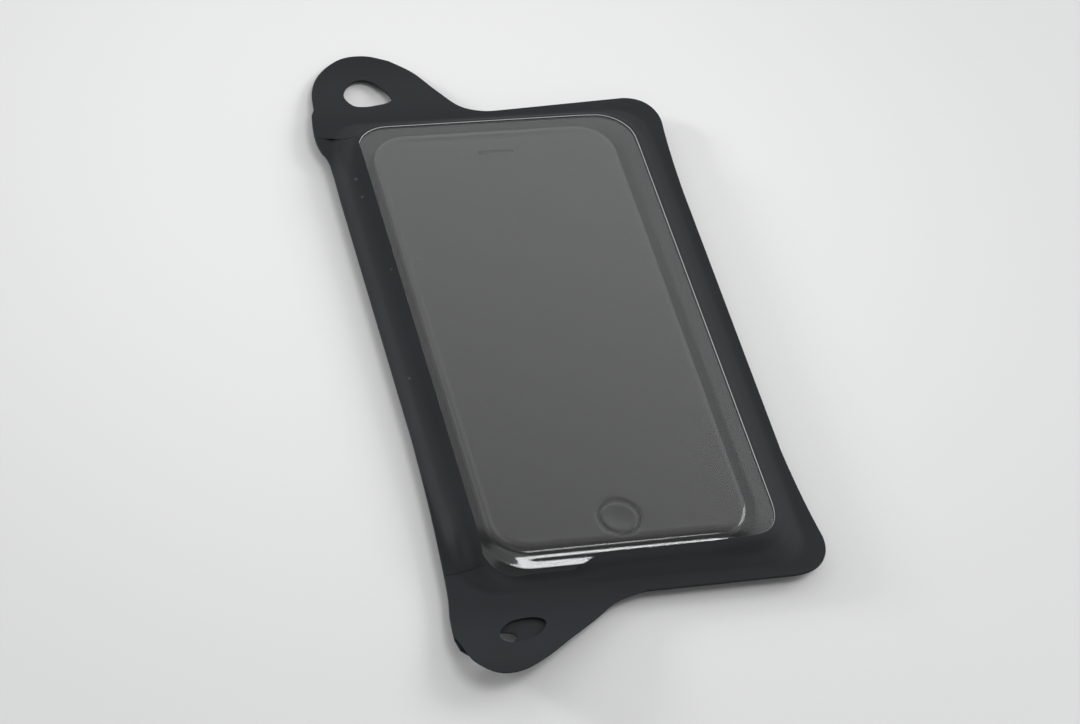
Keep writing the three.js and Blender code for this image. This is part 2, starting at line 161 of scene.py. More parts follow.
def drops():
    """Fall of the film on each side, the running sum of the tangent of its tilt."""
    u = np.linspace(0, FALL_REACH, FALL_STEPS)
    falls = {}
    for side, table in TILTS.items():
        tilt = np.interp(u, [a for a, _ in table], [math.radians(b) for _, b in table])
        slope = np.tan(tilt)
        falls[side] = np.concatenate([[0], np.cumsum((slope[1:] + slope[:-1]) / 2 * np.diff(u))])
    return u, falls


DROP_AT, DROPS = drops()


def film_at(x, y):
    """Upper face of the film: level on the glass, then each side's fall, blended round the corners.

    The weights are the squares of the outward direction's parts, which add up to one. Round the key
    it dips by a bell curve of the distance from its ring.
    """
    left, right, bottom, top, corner = HANDSET_EDGE
    across = np.maximum(x - right + corner, 0) + np.minimum(x - left - corner, 0)
    along = np.maximum(y - top + corner, 0) + np.minimum(y - bottom - corner, 0)
    far = np.maximum(np.hypot(across, along), TINY)
    u = np.maximum(distance_to(x, y, HANDSET_EDGE) + CONTACT, 0)
    fall = 0
    for side, part in (("right", across), ("left", -across), ("top", along), ("bottom", -along)):
        own = np.interp(u, DROP_AT, DROPS[side])
        if side == "bottom":
            gentle = np.interp(u, DROP_AT, DROPS["right"]) * GENTLE_SHARE
            own = own + (gentle - own) * ease((x - GENTLE_FROM) / (GENTLE_TO - GENTLE_FROM))
        fall = fall + (np.maximum(part, 0) / far) ** 2 * own
    from_ring = np.hypot(x, y - KEY_Y) - RING_RADIUS + DIMPLE_IN
    return FILM_LEVEL - fall - DIMPLE * np.exp(-(from_ring / DIMPLE_SPREAD) ** 2)


# Outlines in plan

# Distance between an outline's points, and how many a path is measured with
STEP, FINE = 0.45, 600


def sampled(path):
    """Points at equal distances of about STEP along a path of t from 0 to 1, without its last one."""
    fine = path(np.linspace(0, 1, FINE))
    run = np.concatenate([[0], np.cumsum(np.linalg.norm(np.diff(fine, axis=0), axis=1))])
    at = np.linspace(0, run[-1], max(1, int(round(run[-1] / STEP))) + 1)[:-1]
    return np.stack([np.interp(at, run, fine[:, 0]), np.interp(at, run, fine[:, 1])], 1)


def straight(a, b):
    """A straight line, a + (b - a) t."""
    a, b = np.array(a, float), np.array(b, float)
    return sampled(lambda t: a + (b - a) * t[:, None])


def curve(*controls):
    """A Bezier curve of second or third degree through its first and last control point."""
    c = np.array(controls, float)
    n = len(c) - 1

    def path(t):
        weights = [math.comb(n, k) * t ** k * (1 - t) ** (n - k) for k in range(n + 1)]
        return np.stack(weights, 1) @ c

    return sampled(path)


def catmull_rom(p0, p1, p2, p3, u):
    """The cubic from p1 to p2 whose slope at each is half the step between its neighbours."""
    v0, v1 = (p2 - p0) / 2, (p3 - p1) / 2
    cubic = (2 * p1 - 2 * p2 + v0 + v1) * u ** 3 + (-3 * p1 + 3 * p2 - 2 * v0 - v1) * u ** 2
    return cubic + v0 * u + p1


def spline(*through):
    """A uniform Catmull-Rom curve through the points, its end points doubled."""
    p = np.array(through, float)
    spans = len(p) - 1

    def path(t):
        at = np.minimum((t * spans).astype(int), spans - 1)
        u = (t * spans - at)[:, None]
        return catmull_rom(*(p[np.clip(at + k, 0, spans)] for k in (-1, 0, 1, 2)), u)

    return sampled(path)


def round_trip(*through):
    """A closed uniform Catmull-Rom curve through the points."""
    p = np.array(through, float)
    spans = len(p)

    def path(t):
        at = np.floor(t * spans).astype(int)
        u = (t * spans - at)[:, None]
        return catmull_rom(*(p[(at + k) % spans] for k in (-1, 0, 1, 2)), u)

    return sampled(path)


def arc(cx, cy, radius, start, end):
    """A circular arc between two angles in quarter turns."""
    def path(t):
        angle = (start + (end - start) * t) * math.pi / 2
        return np.stack([cx + radius * np.cos(angle), cy + radius * np.sin(angle)], 1)

    return sampled(path)


FRONT_LUG = [(-46.2, -91), (-44.9, -96.6), (-40.5, -100.6), (-34.7, -100.9), (-27.8, -97.8),
             (-20.3, -92.5), (-13, -87.3), (-5.5, -81.9), (2.5, -79.5)]
BACK_LUG = [(-46.3, -91.2), (-43.2, -94.4), (-39.6, -97.4), (-34.9, -98.2), (-28.3, -95.4),
            (-21, -90.6), (-13.8, -85.7), (-6.2, -81), (2.5, -79.5)]
TOP_HOLE = [(-34.2, 86.4), (-33.1, 89.6), (-30.6, 91.9), (-28, 92.3), (-25.4, 91.1), (-23.3, 88.7),
            (-21.9, 86.2), (-21.8, 84.4), (-23.6, 83.4), (-26, 82.9), (-29.2, 82.5), (-32.4, 83.2)]
BOTTOM_HOLE = [(-37.1, -90.6), (-35.8, -92.5), (-33.4, -93), (-30.6, -92.3), (-27.8, -91), (-25.6, -88.6),
               (-24.9, -86.8), (-26.4, -85.5), (-29.6, -85.2), (-33.4, -86), (-36.1, -88.2)]
BOTTOM_HOLE_MIDDLE = np.array([-31, -89])


def sheet_outline(lug):
    """Outer edge of a sheet with its lower lug, counterclockwise from its lower right."""
    return np.concatenate([
        straight((48, -42), (48.05, 45)),
        curve((48.05, 45), (48.3, 60), (49.4, 70.5)),
        curve((49.4, 70.5), (49.7, 76.5), (46, 80.9), (39.5, 80.3)),
        straight((39.5, 80.3), (8, 78.6)),
        spline((8, 78.6), (1.8, 78.6), (-4.1, 80.9), (-9.1, 87.2), (-14, 94.2), (-19.5, 98.9)),
        spline((-19.5, 98.9), (-25.6, 101.1), (-32.4, 100.4), (-38.7, 95.8), (-42.1, 89.9), (-43.1, 82.5)),
        straight((-43.1, 82.5), (-44, 80.8)),
        spline((-44, 80.8), (-44.7, 76), (-44.9, 71.5), (-44.4, 67.8), (-43.3, 64.6), (-43.0, 60),
               (-43.1, 50)),
        straight((-43.1, 50), (-43, -28)),
        spline((-43, -28), (-43.5, -46), (-44.3, -61), (-45.3, -74.7), (-46.4, -81.5), (-46.9, -88)),
        straight((-46.9, -88), lug[0]),
        spline(*lug),
        straight((2.5, -79.5), (38, -79.4)),
        curve((38, -79.4), (46.5, -79.8), (50.6, -75.5), (50.3, -69)),
        curve((50.3, -69), (48.6, -57), (48, -42)),
    ])


def bottom_hole(dx, dy, size=1.0):
    """The lower lug's hole, sized about its middle and moved."""
    return BOTTOM_HOLE_MIDDLE + (round_trip(*BOTTOM_HOLE) - BOTTOM_HOLE_MIDDLE) * size + np.array([dx, dy])


def rounded(area):
    """Edge of a rounded rectangle: four straight sides and four quarter circles."""
    left, right, bottom, top, r = area
    return np.concatenate([
        straight((left + r, bottom), (right - r, bottom)), arc(right - r, bottom + r, r, -1, 0),
        straight((right, bottom + r), (right, top - r)), arc(right - r, top - r, r, 0, 1),
        straight((right - r, top), (left + r, top)), arc(left + r, top - r, r, 1, 2),
        straight((left, top - r), (left, bottom + r)), arc(left + r, bottom + r, r, 2, 3),
    ])


def window_outline():
    """The window's edge: below, it steps up to the handset's end right of the middle."""
    left, right, bottom, top, r = WINDOW
    return np.concatenate([
        straight((left + r, bottom), (-14, bottom)), straight((-14, bottom), (-7.2, -70)),
        straight((-7.2, -70), (28, -69.8)), curve((28, -69.8), (35.5, -69.6), (right, -67.5), (right, -60)),
        straight((right, -60), (right, top - r)), arc(right - r, top - r, r, 0, 1),
        straight((right - r, top), (left + r, top)), arc(left + r, top - r, r, 1, 2),
        straight((left, top - r), (left, bottom + r)), arc(left + r, bottom + r, r, 2, 3),
    ])


def inset(loop, by):
    """The loop moved to the left of its own direction, mitred, so a counterclockwise loop shrinks."""
    before, after = loop - np.roll(loop, 1, 0), np.roll(loop, -1, 0) - loop
    before /= np.linalg.norm(before, axis=1)[:, None]
    after /= np.linalg.norm(after, axis=1)[:, None]
    n0 = np.stack([-before[:, 1], before[:, 0]], 1)
    n1 = np.stack([-after[:, 1], after[:, 0]], 1)
    mid = n0 + n1
    mid /= np.linalg.norm(mid, axis=1)[:, None]
    return loop + mid * (by / np.maximum((mid * n0).sum(1), 0.5))[:, None]


def counterclockwise(loop):
    """The loop, turned round where the area it goes about is negative."""
    after = np.roll(loop, -1, 0)
    area = (loop[:, 0] * after[:, 1] - after[:, 0] * loop[:, 1]).sum()
    return loop if area > 0 else loop[::-1]


# Points worked on at once where each is compared with a whole loop
BLOCK = 4000
NONE = 1e-12


def in_blocks(points):
    """The points in blocks of about BLOCK."""
    return np.array_split(points, max(1, len(points) // BLOCK))


def distance_from(points, loop):
    """Distance of each point from the nearest segment of a closed loop."""
    a, b = loop, np.roll(loop, -1, 0)
    ab = b - a
    squared = np.maximum((ab ** 2).sum(1), NONE)
    nearest = []
    for block in in_blocks(points):
        ap = block[:, None, :] - a[None]
        t = np.clip((ap * ab[None]).sum(2) / squared, 0, 1)
        nearest.append(np.sqrt(((ap - ab[None] * t[..., None]) ** 2).sum(2).min(1)))
    return np.concatenate(nearest)


def inside(points, loop):
    """Whether each point is inside a closed loop, by the number of edges crossed to its right."""
    a, b = loop, np.roll(loop, -1, 0)
    rise = np.where(b[:, 1] == a[:, 1], NONE, b[:, 1] - a[:, 1])
    odd = []
    for block in in_blocks(points):
        x, y = block[:, 0][:, None], block[:, 1][:, None]
        spans = (a[:, 1] > y) != (b[:, 1] > y)
        crossing = x < a[:, 0] + (y - a[:, 1]) * (b[:, 0] - a[:, 0]) / rise
        odd.append((spans & crossing).sum(1) % 2 == 1)
    return np.concatenate(odd)


def within(points, loops):
    """Inside the first loop and outside the others."""
    keep = inside(points, loops[0])
    for loop in loops[1:]:
        keep &= ~inside(points, loop)
    return keep


def ring_edges(rings):
    """Edges round closed rings whose points are listed one ring after the other."""
    edges, start = [], 0
    for ring in rings:
        k = np.arange(len(ring))
        edges.append(np.stack([start + k, start + (k + 1) % len(ring)], 1))
        start += len(ring)
    return np.concatenate(edges)


def triangulated(plan, edges, loops):
    """Triangles between points in plan that keep to the edges, inside the first loop and outside the rest."""
    triangles = np.array(delaunay_2d_cdt(plan.tolist(), edges.tolist(), [], 0, TINY, False)[2])
    corners = plan[triangles]
    a, b = corners[:, 1] - corners[:, 0], corners[:, 2] - corners[:, 0]
    turn = a[:, 0] * b[:, 1] - a[:, 1] * b[:, 0]
    triangles[turn < 0] = triangles[turn < 0][:, ::-1]
    return triangles[within(corners.mean(1), loops)]


# Meshes

# A cut edge: points over its half-round's quarter, the flat stretch inside it, and how far the
# grid of the sheet's faces stays away from that
RIM_STEPS, RIM_FLAT, GRID_CLEAR = 4, 0.14, 0.3
# Points round each corner of the handset, and round its turned pieces
SEGMENTS, AROUND = 20, 72
SHARPEST_CORNER = 0.4


def mesh_piece(name, points, faces, attributes=None):
    """A new object from points in millimetres about the handset and faces facing out, smooth."""
    mesh = bpy.data.meshes.new(name)
    mesh.from_pydata(((np.asarray(points) + ORIGIN) * MM).tolist(), [], [f.tolist() for f in faces])
    for key, values in (attributes or {}).items():
        layer = mesh.attributes.new(key, "FLOAT", "POINT")
        layer.data.foreach_set("value", np.asarray(values, np.float32))
    mesh.shade_smooth()
    mesh.update()
    piece = bpy.data.objects.new(name, mesh)
    bpy.context.scene.collection.objects.link(piece)
    return piece


def strips(rows, per_row):
    """Quads between neighbouring rows of closed loops that hold per_row points each."""
    i = np.arange(per_row)
    j = (i + 1) % per_row
    base = (np.arange(rows - 1) * per_row)[:, None]
    quads = np.stack([base + i, base + j, base + per_row + j, base + per_row + i], 2)
    return quads.reshape(-1, 4)


def cut_sheet(name, outer, holes, top_at, bottom_at, grid_lines, rounding, window=False):
    """A sheet cut along its outline, with holes, between two height functions of x and y.

    Top and underside are plan grids cut along the loops. Each loop's rim is a half-round profile
    carried along it: inset r - r sin(a), height top - r + r cos(a) as a goes from 0 to 90 degrees,
    and the same mirrored below.
    """
    loops = [counterclockwise(outer)] + [counterclockwise(h)[::-1] for h in holes]
    quarter = np.linspace(0, math.pi / 2, RIM_STEPS)
    r = rounding
    profile = [(r + RIM_FLAT, 0.0)] + [(r - r * math.sin(a), r - r * math.cos(a)) for a in quarter]
    points, faces = [], []
    total = 0
    top_rings, bottom_rings = [], []
    for loop in loops:
        n = len(loop)
        rows = []
        for height_at, way, half in ((top_at, -1, profile), (bottom_at, 1, profile[::-1])):
            for by, drop in half:
                plan = inset(loop, by) if by > TINY else loop
                rows.append(np.column_stack([plan, height_at(plan[:, 0], plan[:, 1]) + way * drop]))
        points.append(np.concatenate(rows))
        faces.append(total + strips(len(rows), n)[:, ::-1])
        top_rings.append(total + np.arange(n))
        bottom_rings.append(total + (len(rows) - 1) * n + np.arange(n))
        total += len(rows) * n
    rim = np.concatenate(points)
    rings_plan = [rim[ring, :2] for ring in top_rings]
    gx, gy = np.meshgrid(*grid_lines)
    grid = np.column_stack([gx.ravel(), gy.ravel()])
    grid = grid[within(grid, rings_plan)]
    grid = grid[np.min([distance_from(grid, ring) for ring in rings_plan], axis=0) > GRID_CLEAR]
    plan = np.concatenate(rings_plan + [grid])
    triangles = triangulated(plan, ring_edges(top_rings), rings_plan)
    for rings, height_at, flip in ((top_rings, top_at, False), (bottom_rings, bottom_at, True)):
        points.append(np.column_stack([grid, height_at(grid[:, 0], grid[:, 1])]))
        face = np.concatenate(rings + [total + np.arange(len(grid))])[triangles]
        faces.append(face[:, ::-1] if flip else face)
        total += len(grid)
    vertices = lug_lowered(np.concatenate(points))
    attributes = {"window": distance_from(vertices[:, :2], holes[0])} if window else None
    return mesh_piece(name, vertices, [f for group in faces for f in group], attributes)


def grid_stops(*parts):
    """Grid lines over stretches given as start, end, spacing, each stretch joined to the next."""
    lines = [np.linspace(a, b, max(2, int(round((b - a) / d)) + 1))[:-1] for a, b, d in parts]
    return np.concatenate(lines + [[parts[-1][1]]])


def ring_body(name, loop_at, rows):
    """A closed body of stacked loops: rows are inset and height, each loop worked out by loop_at(inset).

    The first and the last loop are closed by a fan about their middle.
    """
    layers = [np.column_stack([loop_at(by), np.full(len(loop_at(by)), z)]) for by, z in rows]
    n = len(layers[0])
    points = np.concatenate(layers)
    faces = list(strips(len(rows), n))
    for row, low in ((0, True), (len(rows) - 1, False)):
        centre = points[row * n:(row + 1) * n].mean(0)
        points = np.vstack([points, [centre[0], centre[1], rows[row][1]]])
        k = np.arange(n)
        fan = np.stack([np.full(n, len(points) - 1), row * n + k, row * n + (k + 1) % n], 1)
        faces += list(fan[:, ::-1] if low else fan)
    return mesh_piece(name, points, faces)


def rounded_ring(width, length, corner):
    """Loops of a rounded rectangle about the middle by their inset, all with the same count of points."""
    def at(by):
        r = max(corner - by, SHARPEST_CORNER)
        angle = np.linspace(0, math.pi / 2, SEGMENTS)
        turns = (np.arange(4)[:, None] * math.pi / 2 + angle).ravel()
        sx = np.repeat([1, -1, -1, 1], SEGMENTS)
        sy = np.repeat([1, 1, -1, -1], SEGMENTS)
        return np.column_stack([sx * (width / 2 - by - r) + r * np.cos(turns),
                                sy * (length / 2 - by - r) + r * np.sin(turns)])
    return at


def turned(name, section, x, y):
    """A closed section of radius and height carried round an upright axis; radius 0 is a pole."""
    section = np.array(section, float)
    angle = np.arange(AROUND) * 2 * math.pi / AROUND
    rows = [np.column_stack([x + r * np.cos(angle), y + r * np.sin(angle), np.full(AROUND, z)])
            for r, z in section]
    return mesh_piece(name, np.concatenate(rows), list(strips(len(section), AROUND)))


def merged(piece):
    """Merges doubled points, as at poles, and turns the faces out."""
    bm = bmesh.new()
    bm.from_mesh(piece.data)
    bmesh.ops.remove_doubles(bm, verts=bm.verts, dist=TINY)
    bmesh.ops.dissolve_degenerate(bm, edges=bm.edges, dist=TINY)
    bmesh.ops.recalc_face_normals(bm, faces=bm.faces)
    bm.to_mesh(piece.data)
    bm.free()
    piece.data.shade_smooth()


# Finishes

# Sockets of the Mix node for colours
MIX_FACTOR, MIX_LOW, MIX_HIGH, MIX_RESULT = 0, 6, 7, 2


class Wire:
    """A shader socket with arithmetic: an expression on wires adds its Math nodes."""

    def __init__(self, finish, socket):
        self.finish, self.socket = finish, socket

    def maths(self, operation, *others):
        values = dict(enumerate((self, *others)))
        return self.finish.node("ShaderNodeMath", {"operation": operation}, values)

    def __add__(self, other):
        return self.maths("ADD", other)

    def __sub__(self, other):
        return self.maths("SUBTRACT", other)

    def __rsub__(self, other):
        return self * -1 + other

    def __mul__(self, other):
        return self.maths("MULTIPLY", other)

    def __pow__(self, other):
        return self.maths("POWER", other)

    __radd__, __rmul__ = __add__, __mul__

    def sine(self):
        return self.maths("SINE")

    def between(self, low, high):
        """0 below low, 1 above high, smooth between; turned round where high is below low."""
        return self.finish.node("ShaderNodeMapRange", {"interpolation_type": "SMOOTHSTEP"},
                                {"Value": self, "From Min": low, "From Max": high})


class Finish:
    """The nodes of one material or world, written as expressions."""

    def __init__(self, owner):
        self.owner = owner
        owner.use_nodes = True
        self.tree = owner.node_tree
        self.tree.nodes.clear()

    def node(self, kind, settings=None, values=None, output=0):
        """A node of a type, its settings set first, then the values or wires of its sockets."""
        added = self.tree.nodes.new(kind)
        for key, value in (settings or {}).items():
            setattr(added, key, value)
        for key, value in (values or {}).items():
            if isinstance(value, Wire):
                self.tree.links.new(value.socket, added.inputs[key])
            else:
                added.inputs[key].default_value = value
        return Wire(self, added.outputs[output])

    def place(self, output="Object"):
        return self.node("ShaderNodeTexCoord", output=output)

    def axis(self, index):
        return self.node("ShaderNodeSeparateXYZ", values={"Vector": self.place()}, output=index)

    def noise(self, size, detail):
        """Noise with features of about size millimetres."""
        scaled = self.node("ShaderNodeMapping", values={"Vector": self.place(), "Scale": [1 / (size * MM)] * 3})
        return self.node("ShaderNodeTexNoise", values={
            "Vector": scaled, "Scale": 1.0, "Detail": detail, "Roughness": 0.5})

    def spot(self, x, y, size):
        """1 at a place in millimetres about the handset, falling to 0 at size from it."""
        place = ((x + ORIGIN[0]) * MM, (y + ORIGIN[1]) * MM, 0)
        plan = self.node("ShaderNodeVectorMath", {"operation": "MULTIPLY"}, {0: self.place(), 1: (1, 1, 0)})
        away = self.node("ShaderNodeVectorMath", {"operation": "DISTANCE"}, {0: plan, 1: place}, output=1)
        return away.between(size * MM, size * 0.5 * MM)

    def attribute(self, name):
        return self.node("ShaderNodeAttribute", {"attribute_name": name}, output=2)

    def blend(self, factor, low, high):
        """A colour between two, by a factor."""
        return self.node("ShaderNodeMix", {"data_type": "RGBA"},
                         {MIX_FACTOR: factor, MIX_LOW: low, MIX_HIGH: high}, output=MIX_RESULT)

    def bump(self, height, distance, strength):
        return self.node("ShaderNodeBump", values={
            "Height": height, "Distance": distance * MM, "Strength": strength})

    def weave(self, pitch):
        """The product of a sine across and one along, both of one pitch in millimetres."""
        turns = 2 * math.pi / (pitch * MM)
        return (self.axis(0) * turns).sine() * (self.axis(1) * turns).sine()

    def principled(self, **values):
        return self.node("ShaderNodeBsdfPrincipled",
                         values={k.replace("_", " "): v for k, v in values.items()})

    def output(self, shader, kind="ShaderNodeOutputMaterial"):
        end = self.tree.nodes.new(kind)
        self.tree.links.new(shader.socket, end.inputs["Surface"])
        return self.owner


def new_finish(name):
    return Finish(bpy.data.materials.new(name))


def shade(base, share):
    """A colour taken by a share."""
    return (*(c * share for c in base), 1)


BLACK = (0.0186, 0.0212, 0.0232)
STRIP_BLACK = (0.0162, 0.0186, 0.0205)
# Colour of the painted shade along the crease at the strip's upper end
CREASE_PAINTED_SHADE = (0.003, 0.003, 0.0035, 1)
# Colour of the painted highlight along the window's cut edge of the front sheet
CUT_HIGHLIGHT_PALE = (0.47, 0.475, 0.48, 1)
MARK_GREY = (0.09, 0.09, 0.092, 1)
WEAVE_PITCH, WIRE_PITCH = 0.46, 0.35
# The painted shade of the crease along the strip's upper end: its slant, the place across and along that it
# passes through, and the shift that brings it to the part's frame
CREASE_SLANT, CREASE_X, CREASE_Y, CREASE_SHIFT = 0.43, 35.4, 69.2, 0.73
# Marks on the strip: place across and along, radius
STRIP_MARKS = ((-38.9, 53.6, 0.5), (-38.6, 47.4, 0.4), (-37.0, 22.0, 0.35), (-40.2, -12.0, 0.4))
# Specks and small smears on the film: place across and along, radius, added share of reflection
FILM_SPECKS = (
    (-29.6, 25.2, 0.30, 0.10), (-9.4, 42.0, 0.24, 0.10), (4.1, 2.6, 0.28, 0.12), (-8.5, 61.5, 0.7, 0.02),
    (9.6, 58.0, 0.8, 0.02), (22.5, 31.0, 0.22, 0.08), (14.0, -27.5, 0.24, 0.08), (-18.5, -41.0, 0.22, 0.08),
)


def sheet_finish(name, base, rough, cut=False, crease_shade_and_marks=False):
    """Coated black cloth: a fine weave under a matt coat.

    With cut, it has a painted highlight, pale within 0.2 mm of the window's cut edge, on its right side. With
    marked, it has painted shade along the crease at the strip's upper end, and the marks of the facing strip.
    """
    f = new_finish(name)
    weave = f.weave(WEAVE_PITCH)
    blotch = f.noise(14, 3)
    grain = f.noise(0.7, 2)
    colour = f.blend(blotch, shade(base, 0.86), shade(base, 1.14))
    if cut:
        # Painted highlight: pale within 0.2 mm of the window's cut edge, only towards the upper right, where
        # the light falls
        edge = f.attribute("window").between(0.20, 0.13) * (f.axis(0) + f.axis(1)).between(-0.045, -0.015)
        colour = f.blend(edge, colour, CUT_HIGHLIGHT_PALE)
    if crease_shade_and_marks:
        # Painted shade: past the crease line at the strip's upper end, the colour darkens towards near black
        start = (CREASE_X * CREASE_SLANT + CREASE_SHIFT - CREASE_Y) * MM
        past = f.axis(1) + f.axis(0) * CREASE_SLANT + start
        colour = f.blend(past.between(-1.1 * MM, -0.3 * MM) * 0.7, colour, CREASE_PAINTED_SHADE)
        for x, y, size in STRIP_MARKS:
            colour = f.blend(f.spot(x, y, size) * 0.5, colour, MARK_GREY)
    return f.output(f.principled(
        Base_Color=colour, Roughness=(blotch - 0.5) * 0.14 + grain * 0.06 + rough, IOR=1.45,
        Specular_IOR_Level=0.12, Normal=f.bump(weave * 0.5 + grain * 0.6, 0.02, 0.5)))


def film_finish():
    """Clear glossy film: see-through, with a reflection on each face that grows at low angles.

    Share reflected on a face: 1.3 * (0.04 + 0.96 * (1 - cosine of the angle to the normal) ** 5), and
    a little more at each speck.
    """
    f = new_finish("clear_film")
    ripple = f.noise(9, 2)
    normal = f.bump(ripple, 0.05, 0.35)
    gloss = f.principled(Base_Color=(0.93, 0.94, 0.95, 1), Metallic=1.0,
                         Roughness=ripple * 0.04 + 0.075, Normal=normal)
    clear = f.node("ShaderNodeBsdfTransparent", values={"Color": (0.96, 0.96, 0.96, 1)})
    facing = f.node("ShaderNodeLayerWeight", values={"Blend": 0.5, "Normal": normal}, output=1)
    factor = (facing ** 5 * 0.96 + 0.04) * 1.3
    for x, y, size, more in FILM_SPECKS:
        factor = factor + f.spot(x, y, size) * more
    return f.output(f.node("ShaderNodeMixShader", values={0: factor, 1: clear, 2: gloss}))


def plain_finish(name, base, rough, metal=0.0, size=3.0, coat=0.0):
    """A moulded, coated or polished finish with faint blotches in its colour and gloss."""
    f = new_finish(name)
    blotch = f.noise(size, 3)
    return f.output(f.principled(
        Base_Color=f.blend(blotch, shade(base, 0.88), shade(base, 1.12)),
        Roughness=(blotch - 0.5) * (rough * 0.4) + rough, Metallic=metal, Coat_Weight=coat))


def mesh_finish():
    """Woven wire over the speaker slot."""
    f = new_finish("speaker_mesh")
    hole = f.weave(WIRE_PITCH).between(0.1, 0.5)
    colour = f.blend(hole, (0.09, 0.09, 0.09, 1), (0.01, 0.01, 0.01, 1))
    return f.output(f.principled(Base_Color=colour, Roughness=0.45, Metallic=0.6,
                                 Normal=f.bump(hole, 0.1, 0.7)))


def floor_finish():
    """Pale plain board with a painted falloff of light: a little greyer away from the pouch's upper left."""
    f = new_finish("floor")
    near = f.blend(f.noise(60, 3), (0.760, 0.762, 0.765, 1), (0.770, 0.771, 0.773, 1))
    away = f.node("ShaderNodeVectorMath", {"operation": "DISTANCE"}, {0: f.place(), 1: (-0.02, 0.06, 0)},
                  output=1)
    # Painted falloff of light: the board greys with distance from the pouch's upper left
    colour = f.blend(away.between(0.03, 0.22), near, (0.630, 0.632, 0.637, 1))
    return f.output(f.principled(Base_Color=colour, Roughness=0.6))


# Pouch

ACROSS = grid_stops((-51, -41, 0.9), (-41, -30, 0.6), (-30, 30, 1.5), (30, 41, 0.6), (41, 53, 0.9))
ALONG = grid_stops((-104, -77, 0.9), (-77, -64, 0.6), (-64, 64, 1.2), (64, 77, 0.6), (77, 104, 0.9))
FILM_ACROSS = grid_stops((-38, -29, 0.3), (-29, -7, 1.4), (-7, 7, 0.4), (7, 29, 1.4), (29, 42.5, 0.3))
FILM_ALONG = grid_stops((-75.5, -68.4, 0.2), (-68.4, -54, 0.45), (-54, 61, 1.6), (61, 75.5, 0.3))

WINDOW_EDGE = window_outline()
FRONT_EDGE = sheet_outline(FRONT_LUG)
TABLE_STEP = 0.4
TABLE_X, TABLE_Y = np.arange(-56, 57, TABLE_STEP), np.arange(-106, 107, TABLE_STEP)

# Rise of the front sheet's underside over the film that it rests on, and the width in which it settles
REST, SETTLE = 0.02, 4.0
# Beside the mouth it runs straight down over a wider stretch: where this begins across and over what
# width, where it ends along and over what length it fades, and the stretch
SLANT_FROM, SLANT_WIDE, SLANT_END, SLANT_FADE, SLANT = 33, 2, 58, 9, 7.4
# Thickness at the window's edge, what it gains further out, and over what width
CUT_THICK, THICK_GAIN, THICK_WIDE = 0.17, 0.23, 2.5
# Lips of the mouth: outer edge and width across, end and fade along, drop of the front and rise of
# the back
LIP_EDGE, LIP, LIP_END, LIP_FADE, LIP_DROP, LIP_RISE = 43.0, 2.6, 72, 8, 0.85, 0.75
# How much more than their gap the sheets close by at the rim, and the power that it begins with
CLOSE_MORE, CLOSE_POWER = 0.04, 3
# Fall of the top lug, its shift in plan for each millimetre of it, and how early it begins
LUG_DOWN, DOWN_X, DOWN_Y, DOWN_EARLY = 2.7, 0.40, 0.82, 2
# Clearance of the film below the front sheet, and its thickness as it looks
FILM_BELOW, FILM_LOOK = 0.03, FILM_THICK * 0.75
# Facing strip: inner edge, its two ends there and at the outer edge, thickness at its lower end,
# gain in thickness over the taper, and clearance
STRIP_EDGE, STRIP_LOW, STRIP_HIGH, STRIP_OUTER_LOW, STRIP_OUTER_HIGH = -35.4, -69.5, 69.2, -68.9, 72.9
STRIP_THIN, STRIP_GAIN, STRIP_TAPER, STRIP_ABOVE = 0.10, 0.22, 12, 0.015


def window_table():
    """Distance outward from the window's edge, negative in the window, at the nodes of a plan grid."""
    x, y = np.meshgrid(TABLE_X, TABLE_Y)
    flat = np.column_stack([x.ravel(), y.ravel()])
    off = distance_from(flat, WINDOW_EDGE[::2])
    return np.where(inside(flat, WINDOW_EDGE[::2]), -off, off).reshape(x.shape)


WINDOW_TABLE = window_table()


def off_window(x, y):
    """The window table read between its nodes, in proportion along both axes."""
    across = np.clip((x - TABLE_X[0]) / TABLE_STEP, 0, len(TABLE_X) - 1.001)
    along = np.clip((y - TABLE_Y[0]) / TABLE_STEP, 0, len(TABLE_Y) - 1.001)
    i, j = across.astype(int), along.astype(int)
    u, v = across - i, along - j
    low = WINDOW_TABLE[j, i] * (1 - u) + WINDOW_TABLE[j, i + 1] * u
    high = WINDOW_TABLE[j + 1, i] * (1 - u) + WINDOW_TABLE[j + 1, i + 1] * u
    return low * (1 - v) + high * v


def lip(x, y):
    """1 at the outer edge of the mouth's side, falling to 0 a lip's width inside it."""
    return ease((-x - LIP_EDGE + LIP) / LIP) * (1 - ease((np.abs(y) - LIP_END) / LIP_FADE))


def lug_lowered(points):
    """The top lug lowered towards the floor, and moved on in plan in step with that."""
    share = ease((points[:, 1] - TOP_FOOT + DOWN_EARLY) / LUG_REACH) * LUG_DOWN
    return points + np.column_stack([DOWN_X * share, DOWN_Y * share, -share])


def front_under(x, y):
    """Underside of the front sheet: on the film at the window's edge, settling to its rim outward."""
    off = off_window(x, y)
    settled = front_at(x, y) - LIP_DROP * lip(x, y) * along_mouth(x, y)
    mouth = ease((-x - SLANT_FROM) / SLANT_WIDE) * (1 - ease((np.abs(y) - SLANT_END) / SLANT_FADE))
    near = (1 - ease(off / SETTLE)) * (1 - mouth) + np.clip(1 - off / SLANT, 0, 1) * mouth
    return settled + (film_at(x, y) + REST - settled) * near


def front_top(x, y):
    """The front sheet thins smoothly towards the window's edge."""
    return front_under(x, y) + CUT_THICK + THICK_GAIN * ease(off_window(x, y) / THICK_WIDE)


